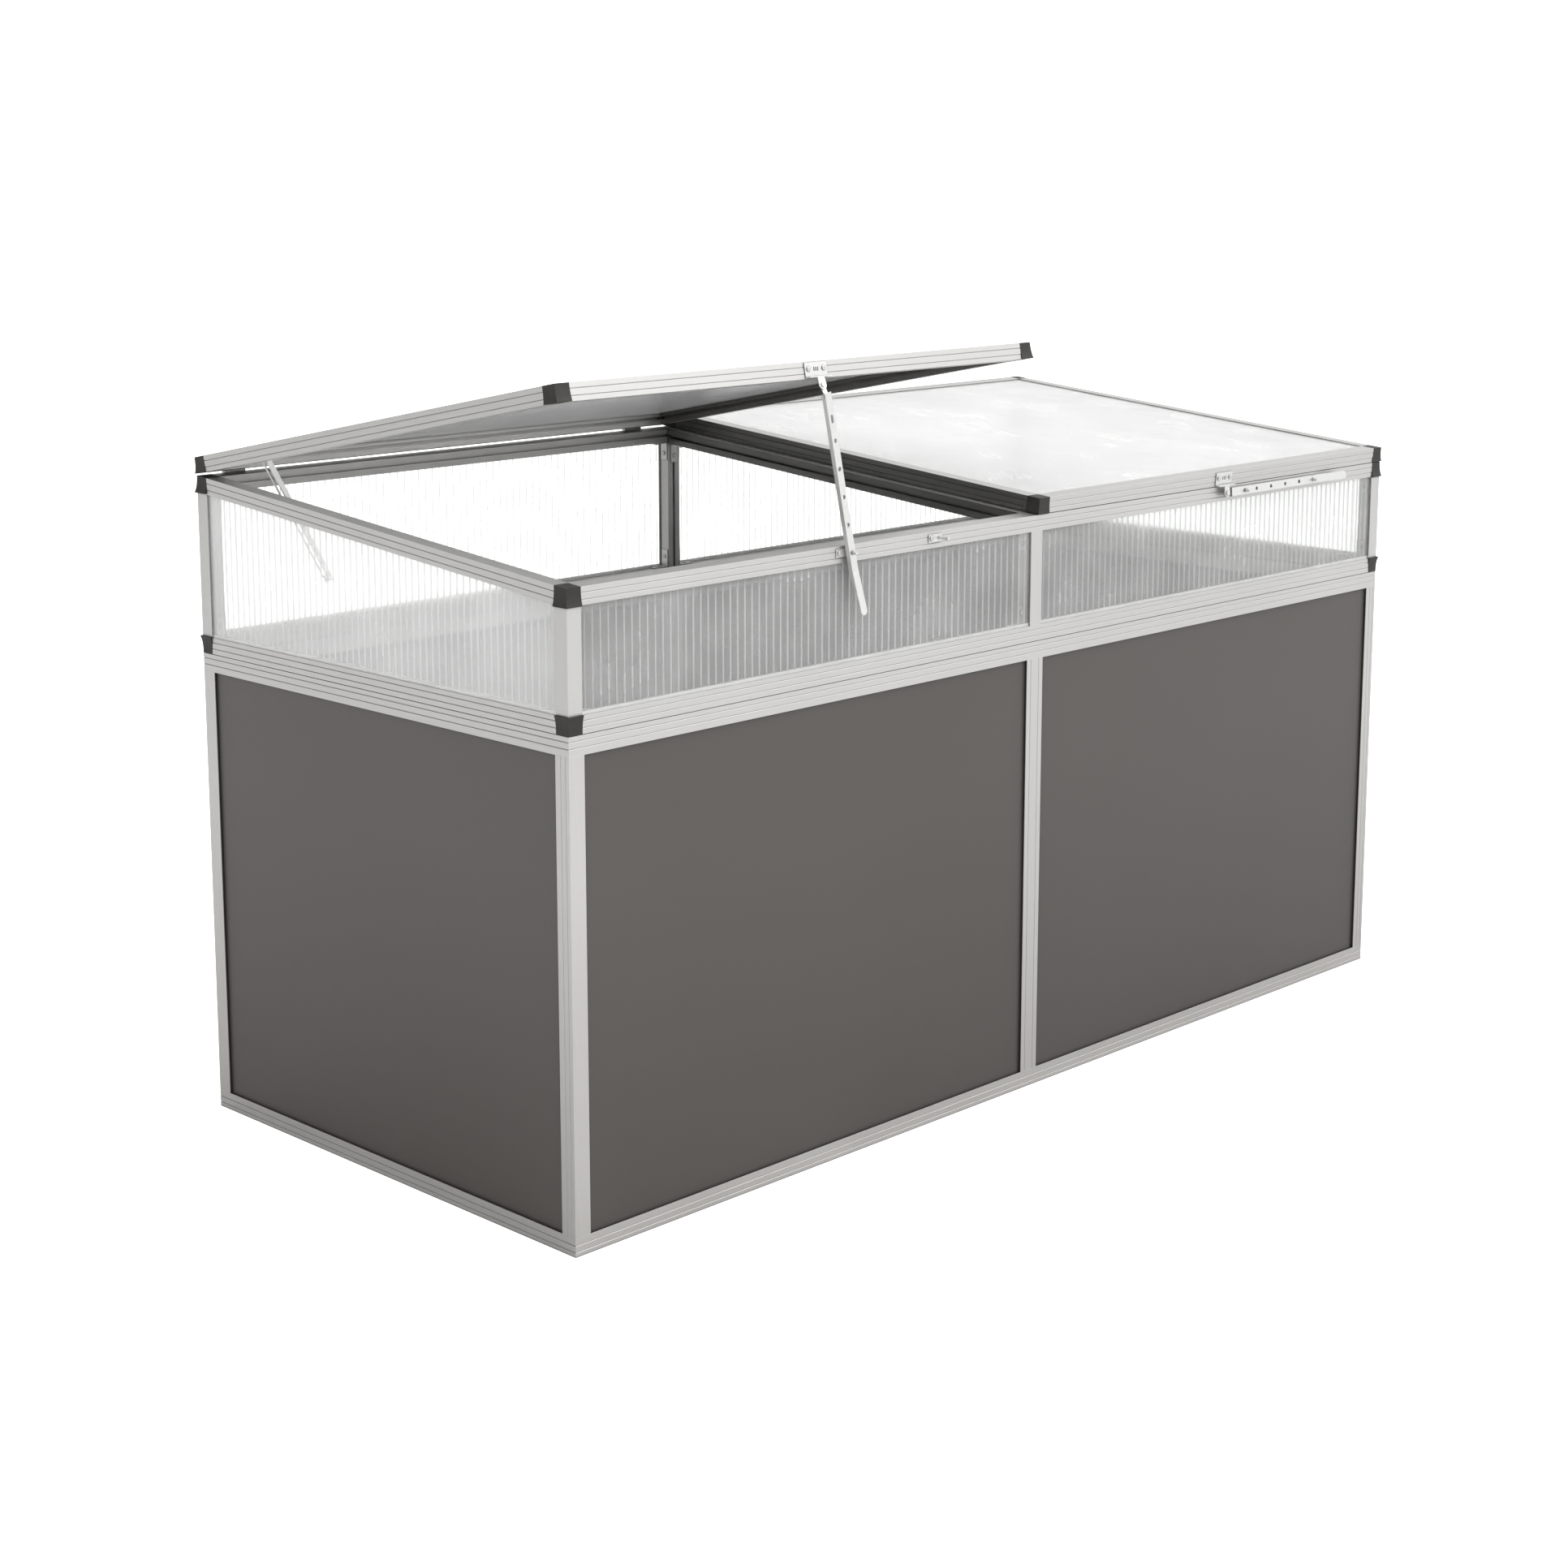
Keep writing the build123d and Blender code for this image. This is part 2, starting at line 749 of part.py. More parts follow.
def stay_planes(lid, share):
    """Planes of the swivel pivot, the link and the arm for a share of the lid's travel."""
    lean = radians(pivot_lean)
    swing = radians(-stay_swing * share)
    tilt = radians(stay_tilt * share)
    centre = (lid_length / 2 + stay_shift, -pivot_front, -pivot_drop)
    axis = (0, -cos(lean), sin(lean))
    pivot = on(lid, centre, (1, 0, 0), axis)
    link = on(lid, centre, (cos(swing), sin(swing) * sin(lean), sin(swing) * cos(lean)), axis)
    arm = on(link, (link_length, 0, -link_drop), (cos(tilt), 0, -sin(tilt)), (sin(tilt), 0, cos(tilt)))
    return pivot, link, arm


def bracket_screws(lid):
    """Planes of the two screws through the stay bracket."""
    middle = lid_length / 2 + stay_shift
    height = (bracket_low + bracket_top) / 2 + 2
    spots = [(middle + offset, -stay_metal, height) for offset in (-bracket_half + 7, bracket_half - 7)]
    return [on(lid, spot, (1, 0, 0), (0, -1, 0)) for spot in spots]


def build_stay_bracket(name, lid, pivot):
    """Pressed bracket: back plate, bottom flange and a rounded lug that carries the pivot."""
    front = on(lid, (lid_length / 2 + stay_shift, 0, 0), (1, 0, 0), (0, -1, 0))
    low = bracket_low + stay_metal
    with BuildPart() as bracket:
        block(front, (-bracket_half, bracket_half), (bracket_low, bracket_top), (0, stay_metal))
        block(front, (-bracket_half, bracket_half), (bracket_low, low), (0, bracket_reach))
        block(pivot, (-lug_half, lug_half), (0, lug_rise), (-stay_metal / 2, stay_metal / 2))
        rod(pivot, lug_half, (-stay_metal / 2, stay_metal / 2))
        rod(pivot, rivet_radius + running_fit, (-stay_metal, stay_metal), mode=Mode.SUBTRACT)
        for offset in (-4, 0, 4):
            block(front, (offset - 1, offset + 1), (11, 17), (0, stay_metal), Mode.SUBTRACT)
        for place in bracket_screws(lid):
            rod(place, screw_radius, (-stay_metal, 0), mode=Mode.SUBTRACT)
    save(bracket, f"{name}_stay_bracket")


def build_stay_link(name, link):
    """Swivel link with its pivot rivet and the cross pin that carries the arm."""
    across = on(link, (link_length, 0, -link_drop), (1, 0, 0), (0, 1, 0))
    slack = running_fit / 2
    with BuildPart() as knuckle:
        rod(link, 6, link_plate)
        block(link, (0, link_length), (-4.2, 4.2), link_plate)
        rod(across, 3, (-5, 5))
        rod(across, cross_pin_radius + slack, (-5, 5), mode=Mode.SUBTRACT)
        rod(link, rivet_radius + slack, (-3, 0), mode=Mode.SUBTRACT)
    with BuildPart() as pins:
        rod(link, rivet_radius, (-4, 2.4))
        rod(link, 4, (0.9, 2.4))
        rod(link, 3.4, (-4, -2.7))
    with BuildPart() as cross_pin:
        rod(across, cross_pin_radius, (-8.3, 8.3))
        rod(across, 2.8, (7.1, 8.3))
        rod(across, 2.8, (-8.3, -7.1))
    with BuildPart() as together:
        add(knuckle.part)
        add(pins.part)
        add(cross_pin.part)
    save(together, f"{name}_stay_link")


def arm_web_outline():
    """Long edge view of the arm's web, with the kicked-out end."""
    inner, outer = arm_web
    straight = [(-5, outer), (-5, inner), (arm_straight, inner)]
    kicked = [(arm_end, inner + arm_kick), (arm_end, outer + arm_kick), (arm_straight, outer)]
    Polygon(*straight, *kicked, align=None)


def arm_flange_outline():
    """Long edge view of a flange: an ear round the cross pin, tapering out at the kick."""
    inner, outer = arm_web
    fade = arm_kick * arm_taper / (arm_end - arm_straight)
    Circle(ear_radius)
    near = [(-ear_radius, outer), (-ear_radius, 0), (0, -arm_edge)]
    far = [(arm_straight, -arm_edge), (arm_straight + arm_taper, inner + fade), (arm_straight, outer)]
    Polygon(*near, *far, align=None)


def build_stay_arm(name, arm):
    """Channel-shaped arm with a slot, a row of holes and a kicked-out end."""
    side = on(arm, (0, 0, 0), (1, 0, 0), (0, -1, 0))
    inner, outer = arm_web
    with BuildPart() as stay:
        with BuildSketch(side):
            arm_web_outline()
        extrude(amount=arm_half, both=True)
        with BuildSketch(arm.offset(outer + arm_kick)):
            area(-5, arm_end - arm_half, -arm_half, arm_half)
            with Locations((arm_end - arm_half, 0)):
                Circle(arm_half)
        extrude(amount=-2 * arm_kick - outer, mode=Mode.INTERSECT)
        for low in (-arm_half, arm_half - arm_flange):
            with BuildSketch(side.offset(low)):
                arm_flange_outline()
            extrude(amount=arm_flange)
        with BuildSketch(arm.offset(inner - 1)):
            with Locations((peg_near - link_length, 0)):
                SlotOverall(*arm_slot)
            for index in range(hole_count):
                with Locations((peg_far - link_length - index * hole_pitch, 0)):
                    Circle(arm_hole_radius)
        extrude(amount=arm_kick, mode=Mode.SUBTRACT)
        with BuildSketch(side):
            Circle(cross_pin_radius + running_fit)
        extrude(amount=arm_half, both=True, mode=Mode.SUBTRACT)
    save(stay, f"{name}_stay_arm")


def peg_spots():
    """Places of the stay pegs on the face of the front rail: near and far for each lid."""
    middles = [start + lid_length / 2 + stay_shift for start in (-half_length, lid_gap / 2)]
    return [middle + place for middle in middles for place in (peg_near, peg_far)]


def build_pegs():
    """Stay pegs on the front rail and slide pegs on the side rails."""
    with BuildPart() as pegs:
        for spot in peg_spots():
            face = Plane((spot, -half_width, peg_height), x_dir=(1, 0, 0), z_dir=(0, -1, 0))
            block(face, (-24, 6), (-6, 6), (0, peg_plate))
            rod(face, screw_radius, (0, peg_plate), (-peg_screw, 0), Mode.SUBTRACT)
            rod(face, peg_radius, (0, peg_length))
            rod(face, peg_collar_radius, peg_collar)
        for side in (-1, 1):
            face = side_peg_plane(side)
            rod(face, 2 * side_peg_radius, (0, 2))
            rod(face, side_peg_radius, (0, side_stay_gap - spigot_slack))
            rod(face, side_bolt_radius, (-wall - 2, 0))
            rod(face, t_width / 2 - 0.2, (-wall - 2.5, -wall))
    save(pegs, "stay_pegs")


def side_peg_plane(side):
    """Face of a side rail at its slide peg, z inward."""
    height = front_height + side_peg_run * tan(slope) - bar / 2 / cos(slope)
    spot = (side * (half_length - bar), side_peg_run - half_width, height)
    return Plane(spot, x_dir=(0, 1, 0), z_dir=(-side, 0, 0))


def peg_screws():
    """Planes of the screws in the peg plates."""
    return [
        Plane((spot - peg_screw, -half_width - peg_plate, peg_height), x_dir=(1, 0, 0), z_dir=(0, -1, 0))
        for spot in peg_spots()
    ]


# Side stays


def side_stay_plane(lid, side, share):
    """Plane of a side stay at its pivot: x along the bar, z inward from the lid's outer edge."""
    angle = radians(side_stay_closed + share * (side_stay_open - side_stay_closed))
    edge = 0 if side < 0 else lid_length
    return on(lid, (edge, pivot_run, pivot_rise), (0, cos(angle), sin(angle)), (-side, 0, 0))


def build_side_stay(name, bar_plane, side):
    """Slotted bar with a stiffening flange along one edge."""
    web = (bar + side_stay_gap, bar + side_stay_gap + 1.5)
    start, end, across = side_slot
    edge = sorted((side * side_stay_half, side * (side_stay_half - 1.5)))
    with BuildPart() as stay:
        rod(bar_plane, side_stay_half, web)
        block(bar_plane, (0, side_stay_length), (-side_stay_half, side_stay_half), web)
        block(bar_plane, (10, side_stay_length), edge, (web[0], web[0] + side_stay_flange))
        rod(bar_plane, side_bolt_radius + running_fit, web, mode=Mode.SUBTRACT)
        with BuildSketch(bar_plane.offset(web[0])):
            with Locations(((start + end) / 2, 0)):
                SlotOverall(end - start, across)
        extrude(amount=1.5, mode=Mode.SUBTRACT)
    save(stay, f"{name}_side_stay")


def build_lid_fasteners(name, lid, bar_plane):
    """Screws of the hinge leaves and the stay bracket, and the side-stay pivot bolt."""
    near = bar + side_stay_gap
    with BuildPart() as bolt:
        rod(bar_plane, side_bolt_radius, (bar - wall - 3, near + 3.6))
        rod(bar_plane, t_width / 2 - 0.2, (bar - wall - 4, bar - wall))
        rod(bar_plane, spacer_radius, (bar, near - 0.1))
        rod(bar_plane, spacer_radius + 1, (near + 1.6, near + 3.6))
    with BuildPart() as fasteners:
        add(bolt.part)
        with Locations(*lid_hinge_screws(lid), *bracket_screws(lid)):
            add(screw())
    save(fasteners, f"{name}_lid_fasteners")


def build_lid(name, x_start, side, share):
    """One lid with its hinges and stays, opened by a share of its travel."""
    lid = lid_at(x_start, share)
    pivot, link, arm = stay_planes(lid, share)
    bar_plane = side_stay_plane(lid, side, share)
    build_lid_rails(name, lid)
    build_lid_glazing(name, lid)
    build_lid_connectors(name, lid)
    build_lid_leaves(name, lid, x_start)
    build_stay_bracket(name, lid, pivot)
    build_stay_link(name, link)
    build_stay_arm(name, arm)
    build_side_stay(name, bar_plane, side)
    build_lid_fasteners(name, lid, bar_plane)


for side_name, side_plane in sides_of(footprint, length, width).items():
    side_run = run_of(side_name)
    build_base_rail(f"base_bottom_rail_{side_name}", side_plane, side_run)
    build_base_rail(f"base_top_rail_{side_name}", overhead(side_plane, side_run, base_height), side_run)
build_base_posts()
build_base_panels()
build_base_cleats()
build_base_brackets()
build_frame_rails()
build_sloping_rails()
build_frame_posts()
build_frame_glazing()
build_frame_connectors()
build_frame_brackets()
build_frame_leaves()
build_pegs()
build_lid("left", -half_length, -1, 1)
build_lid("right", lid_gap / 2, 1, 0)
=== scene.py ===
from math import cos, radians, sin

import bmesh
import bpy
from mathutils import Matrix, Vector


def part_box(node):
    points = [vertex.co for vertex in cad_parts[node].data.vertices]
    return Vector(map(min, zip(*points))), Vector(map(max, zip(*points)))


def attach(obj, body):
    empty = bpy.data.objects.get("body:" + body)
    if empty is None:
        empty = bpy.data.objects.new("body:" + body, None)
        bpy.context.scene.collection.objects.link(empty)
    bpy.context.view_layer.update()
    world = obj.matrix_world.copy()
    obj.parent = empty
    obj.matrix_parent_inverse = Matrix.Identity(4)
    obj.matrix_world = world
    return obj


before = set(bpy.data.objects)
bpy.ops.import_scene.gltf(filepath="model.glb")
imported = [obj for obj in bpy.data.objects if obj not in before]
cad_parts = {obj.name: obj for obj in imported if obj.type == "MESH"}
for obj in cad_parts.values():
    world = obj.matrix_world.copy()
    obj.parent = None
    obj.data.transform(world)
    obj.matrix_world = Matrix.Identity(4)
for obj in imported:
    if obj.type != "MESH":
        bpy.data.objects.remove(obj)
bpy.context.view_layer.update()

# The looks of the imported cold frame: procedural materials for every CAD node, the edge tapes that
# the CAD leaves out, a pale studio and the camera. Metres, in the CAD's own frame.

scene = bpy.context.scene
mm = 0.001

# Camera: three-quarter view from the front left, a little above the lids
camera_place = Vector((-3.41581, -3.23486, 1.58246))
camera_yaw = 0.77815
camera_pitch = -0.18094
camera_lens = 63.333
camera_sensor = 36
camera_shift = -0.10

# Studio, as it is seen: the backdrop and the floor come out white, without lighting the object more
backdrop_level = 1.7
floor_glow = 1.0

# Studio, as it lights the object: surroundings from their dark to their bright side, and two soft
# suns, each with the side it comes from and its spread in degrees
surroundings_level = (0.22, 1.20)
bright_side = (0.85, -0.45, 0.25)
overhead_power = 2.5
overhead_from = (0.40, -0.60, 1)
overhead_spread = 70
left_fill_power = 2.0
left_fill_from = (-1, 0.25, 0.5)
left_fill_spread = 80
light_bounces = 32
floor_size = 60
floor_shades = ((0.60, 0.60, 0.60), (0.63, 0.63, 0.63))

# Painted shade on the side faces of the middle bars: how far the bars reach from the centre plane, and
# the height above which the shade is painted
middle_reach = 0.04
middle_slack = 0.5 * mm
middle_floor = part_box("frame_cross_rail")[0].z - middle_slack

# Tape over the feet of the upright sheets: its thickness, its play round the sheet, how far it
# reaches up, and how far it stays short of the sheet's two ends
tape_thickness = 0.25 * mm
tape_play = 0.02 * mm
tape_height = 11 * mm
tape_short = 0.5 * mm

# How clear each sheet's skins are, and how light its plastic is: the ends and the lids are made milkier,
# painted light that whitens the same plastic as if lit more
long_side_sheet = (0.93, 0.97)
end_sheet_painted_light = (0.84, 0.97)
lid_sheet_painted_light = (0.78, 0.94)

# Every sheet: the drift of its lightness either way, how clear its ribs are, and how rough each is.
# The index is low, so that the many thin walls stay clear.
sheet_drift = 0.015
rib_clear = 0.62
skin_rough = 0.12
rib_rough = 0.25
sheet_ior = 1.06

# Painted shade on the base, darker towards the ground in patches: how high it reaches, its colour, and
# its share at the ground on bars and on panels
ground_shade_height = 0.55
ground_shade_colour = (0.55, 0.52, 0.49)
ground_shade_on_bars = 0.45
ground_shade_on_panels = 0.75

# Shading only: rounded edges, the reach of painted shade into grooves and seams, and how far noise is
# drawn out along a bar to make die lines
metal_bevel = 0.35 * mm
moulded_bevel = 0.8 * mm
bar_crevice_shade_reach = 4 * mm
metal_crevice_shade_reach = 2.5 * mm
die_line_stretch = 0.004

# Colours: shades are the darker and the lighter end of a slow drift
bar_shades = ((0.520, 0.513, 0.502), (0.550, 0.546, 0.538))
bar_streak = (0.495, 0.487, 0.476)
# Edge colour of the bars: rubbed wear and painted highlight
bar_edge_wear_and_highlight = (0.72, 0.715, 0.705)
# Painted shade on the side faces of the middle bars
bar_middle_side_shade = (0.13, 0.127, 0.122)
# Edge colour of plain metals: rubbed wear and painted highlight
metal_edge_wear_and_highlight = (0.85, 0.85, 0.84)
panel_shades = ((0.048, 0.042, 0.038), (0.056, 0.051, 0.047))
panel_speck = (0.078, 0.072, 0.068)
black_shades = ((0.013, 0.012, 0.011), (0.020, 0.019, 0.017))
# Edge colour of moulded black: rubbed wear and painted highlight
black_edge_wear_and_highlight = (0.060, 0.058, 0.055)
rubber_shades = ((0.006, 0.006, 0.006), (0.013, 0.013, 0.013))
tape_shades = ((0.80, 0.80, 0.785), (0.88, 0.88, 0.87))

# Plain metals: the two shades of the crystal bloom, the roughness, and how metallic each is
hinge_finish = ((0.62, 0.62, 0.61), (0.66, 0.66, 0.65), 0.40, 0.6)
cleat_finish = ((0.46, 0.46, 0.46), (0.53, 0.53, 0.53), 0.38, 0.85)
zinc_finish = ((0.60, 0.60, 0.59), (0.66, 0.66, 0.65), 0.34, 0.75)
screw_finish = ((0.50, 0.50, 0.50), (0.56, 0.56, 0.56), 0.28, 0.85)

slot_of = {name: node.material_slots[0].material.name for name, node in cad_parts.items()}


# ---------------------------------------------------------------- node helpers

def new_material(name):
    """An empty material with its output node and one Principled shader."""
    material = bpy.data.materials.new(name)
    material.use_nodes = True
    return material, material.node_tree, material.node_tree.nodes["Principled BSDF"]


def add(tree, kind, inputs=(), **settings):
    """A node with its settings; an input is a value or another node's socket."""
    made = tree.nodes.new(kind)
    for name, value in settings.items():
        setattr(made, name, value)
    for name, value in dict(inputs).items():
        if isinstance(value, bpy.types.NodeSocket):
            tree.links.new(value, made.inputs[name])
        else:
            made.inputs[name].default_value = value
    return made


def feed(tree, shader, **inputs):
    """Link sockets, or set constants, on the shader; _ stands for a space in a name."""
    for name, value in inputs.items():
        socket = shader.inputs[name.replace("_", " ")]
        if isinstance(value, bpy.types.NodeSocket):
            tree.links.new(value, socket)
        else:
            socket.default_value = value


def place(tree):
    """Coordinates that stay with the piece, in metres."""
    return add(tree, "ShaderNodeTexCoord").outputs["Object"]


def noise(tree, where, scale, detail=3.0, roughness=0.5):
    """Noise with about scale spots to the metre, mostly from 0.3 to 0.7."""
    inputs = {"Vector": where, "Scale": scale, "Detail": detail, "Roughness": roughness}
    return add(tree, "ShaderNodeTexNoise", inputs).outputs["Fac"]


def span(tree, value, low, high, from_low=0.3, from_high=0.7):
    """A value mapped from from_low..from_high, which is noise's usual range, to low..high."""
    inputs = {"Value": value, "From Min": from_low, "From Max": from_high, "To Min": low, "To Max": high}
    return add(tree, "ShaderNodeMapRange", inputs).outputs["Result"]


def blend(tree, share, first, second, mode="MIX"):
    """Two colours mixed by share; each is a socket or an RGB tuple."""
    made = add(tree, "ShaderNodeMix", data_type="RGBA", blend_type=mode)
    for index, value in ((0, share), (6, first), (7, second)):
        if isinstance(value, bpy.types.NodeSocket):
            tree.links.new(value, made.inputs[index])
        else:
            made.inputs[index].default_value = value if index == 0 else (*value, 1)
    return made.outputs[2]


def drift(tree, cloud, shades):
    """A colour that drifts between two shades with the noise."""
    return blend(tree, span(tree, cloud, 0, 1), *shades)


def combine(tree, operation, first, second):
    """A Math node's result; each value is a socket or a number."""
    made = add(tree, "ShaderNodeMath", operation=operation)
    for index, value in enumerate((first, second)):
        if isinstance(value, bpy.types.NodeSocket):
            tree.links.new(value, made.inputs[index])
        else:
            made.inputs[index].default_value = value
    return made.outputs[0]


def rounded_edges(tree, radius):
    """(normal with soft edges, mask that is 1 along the edges)."""
    soft = add(tree, "ShaderNodeBevel", {"Radius": radius}, samples=4).outputs["Normal"]
    flat = add(tree, "ShaderNodeNewGeometry").outputs["Normal"]
    facing = add(tree, "ShaderNodeVectorMath", operation="DOT_PRODUCT")
    tree.links.new(soft, facing.inputs[0])
    tree.links.new(flat, facing.inputs[1])
    return soft, span(tree, facing.outputs["Value"], 1, 0, 0.80, 0.995)


def rubbed_and_highlit_edges(tree, colour, edge, share, edge_colour):
    """The colour, turning to edge_colour by share along the edges: rubbed wear and a painted edge
    highlight.
    """
    return blend(tree, combine(tree, "MULTIPLY", edge, share), colour, edge_colour)


def bump(tree, height, distance, normal=None, strength=1.0):
    """The normal, roughened by height times distance."""
    inputs = {"Height": height, "Distance": distance, "Strength": strength}
    if normal is not None:
        inputs["Normal"] = normal
    return add(tree, "ShaderNodeBump", inputs).outputs["Normal"]


def along_bar(tree, direction):
    """Coordinates squeezed along the bar, so that noise turns into die lines."""
    turn = Vector(direction).rotation_difference(Vector((1, 0, 0))).to_euler()
    turned = add(tree, "ShaderNodeMapping", {"Vector": place(tree), "Rotation": turn}).outputs[0]
    squeeze = (die_line_stretch, 1, 1)
    return add(tree, "ShaderNodeMapping", {"Vector": turned, "Scale": squeeze}).outputs[0]


# ------------------------------------------------------------------- materials

def shade_toward_ground(tree, colour, most):
    """The colour, with painted shade in patches that grows darker towards the ground, up to a share of
    most.
    """
    height = add(tree, "ShaderNodeSeparateXYZ", {"Vector": place(tree)}).outputs["Z"]
    patches = span(tree, noise(tree, place(tree), 7, 4), 0.85, 1)
    ground_shade = combine(tree, "MULTIPLY", span(tree, height, most, 0, 0, ground_shade_height), patches)
    return blend(tree, ground_shade, colour, ground_shade_colour, "MULTIPLY")


def painted_crevice_shade(tree, colour, reach, depth):
    """The colour, with painted shade darker by depth in grooves, slots and seams, where little open sky
    is seen.
    """
    open_sky = add(tree, "ShaderNodeAmbientOcclusion", {"Distance": reach}, samples=4).outputs["AO"]
    return blend(tree, span(tree, open_sky, 1, 0, 0.35, 0.95), colour, (depth, depth, depth), "MULTIPLY")


def middle_side_shade_mask(tree):
    """1 on the faces of the middle bars that look to the left or right, where shade is painted."""
    facing = add(tree, "ShaderNodeTexCoord").outputs["Normal"]
    facing = add(tree, "ShaderNodeSeparateXYZ", {"Vector": facing}).outputs
    where = add(tree, "ShaderNodeSeparateXYZ", {"Vector": place(tree)}).outputs
    sideways = combine(tree, "GREATER_THAN", combine(tree, "ABSOLUTE", facing["X"], 0), 0.7)
    middle = combine(tree, "LESS_THAN", combine(tree, "ABSOLUTE", where["X"], 0), middle_reach)
    upper = combine(tree, "GREATER_THAN", where["Z"], middle_floor)
    return combine(tree, "MULTIPLY", combine(tree, "MULTIPLY", sideways, middle), upper)


def bar_aluminium(direction):
    """Extruded bar, fine satin anodised: die lines along it, and edges lightened as rubbed wear and
    painted highlight.
    """
    material, tree, shader = new_material("satin_aluminium")
    here = place(tree)
    lines = along_bar(tree, direction)
    soft, edge = rounded_edges(tree, metal_bevel)
    broad = noise(tree, here, 2.2, 2)
    streak = noise(tree, lines, 900, 4, 0.6)
    grain = noise(tree, here, 2600, 2)
    colour = drift(tree, broad, bar_shades)
    colour = blend(tree, span(tree, streak, 0, 0.5), colour, bar_streak)
    # Painted shade, darker towards the ground
    colour = shade_toward_ground(tree, colour, ground_shade_on_bars)
    # Rubbed wear and a painted highlight along the edges
    colour = rubbed_and_highlit_edges(tree, colour, edge, 0.55, bar_edge_wear_and_highlight)
    # Painted shade on the side faces of the middle bars
    runs_front_to_back = abs(direction.y) > 0.5
    if runs_front_to_back:
        colour = blend(tree, middle_side_shade_mask(tree), colour, bar_middle_side_shade)
    # Painted shade in grooves and seams
    colour = painted_crevice_shade(tree, colour, bar_crevice_shade_reach, 0.45)
    rough = combine(tree, "ADD", span(tree, streak, 0.36, 0.46), span(tree, broad, -0.02, 0.02))
    fine = bump(tree, grain, 0.03 * mm, soft, 0.5)
    feed(tree, shader, Base_Color=colour, Metallic=0.90, Roughness=rough,
         Normal=bump(tree, streak, 0.04 * mm, fine, 0.6))
    return material


def plain_metal(name, low, high, rough, metallic):
    """Pressed or turned metal: a faint crystal bloom, edges brighter as rubbed wear and painted
    highlight, and fine scratches.
    """
    material, tree, shader = new_material(name)
    here = place(tree)
    soft, edge = rounded_edges(tree, metal_bevel)
    bloom = add(tree, "ShaderNodeTexVoronoi", {"Vector": here, "Scale": 420}).outputs["Color"]
    bloom = add(tree, "ShaderNodeSeparateColor", {"Color": bloom}).outputs[0]
    scuffs = noise(tree, here, 1500, 5, 0.7)
    colour = blend(tree, bloom, low, high)
    # Rubbed wear and a painted highlight along the edges
    colour = rubbed_and_highlit_edges(tree, colour, edge, 0.6, metal_edge_wear_and_highlight)
    # Painted shade in crevices
    colour = painted_crevice_shade(tree, colour, metal_crevice_shade_reach, 0.25)
    feed(tree, shader, Base_Color=colour, Metallic=metallic,
         Roughness=combine(tree, "ADD", span(tree, scuffs, rough - 0.05, rough + 0.06),
                           span(tree, bloom, -0.02, 0.02, 0, 1)),
         Normal=bump(tree, scuffs, 0.03 * mm, soft, 0.5))
    return material


def anthracite_panel():
    """Powder-coated sheet: warm dark grey, satin, with a faint orange peel."""
    material, tree, shader = new_material("anthracite_powder_coat")
    here = place(tree)
    cloud = noise(tree, here, 1.6, 2)
    peel = noise(tree, here, 620, 3, 0.55)
    speck = noise(tree, here, 2300, 2)
    colour = drift(tree, cloud, panel_shades)
    colour = blend(tree, span(tree, speck, 0, 0.25), colour, panel_speck)
    # Painted shade, darker towards the ground
    colour = shade_toward_ground(tree, colour, ground_shade_on_panels)
    feed(tree, shader, Base_Color=colour, Specular_IOR_Level=0.5,
         Roughness=combine(tree, "ADD", span(tree, peel, 0.38, 0.44), span(tree, cloud, -0.02, 0.03)),
         Normal=bump(tree, peel, 0.02 * mm, None, 0.5))
    return material


def moulded_black():
    """Injection-moulded corner: charcoal with a spark-eroded grain, and edges paler as rubbed wear and
    painted highlight.
    """
    material, tree, shader = new_material("moulded_black")
    here = place(tree)
    soft, edge = rounded_edges(tree, moulded_bevel)
    grain = noise(tree, here, 1700, 3, 0.6)
    cloud = noise(tree, here, 45, 2)
    colour = drift(tree, cloud, black_shades)
    # Rubbed wear and a painted highlight along the edges
    colour = rubbed_and_highlit_edges(tree, colour, edge, 0.4, black_edge_wear_and_highlight)
    feed(tree, shader, Base_Color=colour, Specular_IOR_Level=0.35,
         Roughness=span(tree, grain, 0.46, 0.58), Normal=bump(tree, grain, 0.06 * mm, soft, 0.6))
    return material


def gasket_rubber():
    """Extruded EPDM strip: near black and dull."""
    material, tree, shader = new_material("gasket_rubber")
    here = place(tree)
    grain = noise(tree, here, 900, 3)
    cloud = noise(tree, here, 20, 2)
    colour = drift(tree, cloud, rubber_shades)
    feed(tree, shader, Base_Color=colour, Roughness=span(tree, grain, 0.68, 0.82),
         Normal=bump(tree, grain, 0.05 * mm, None, 0.6))
    return material


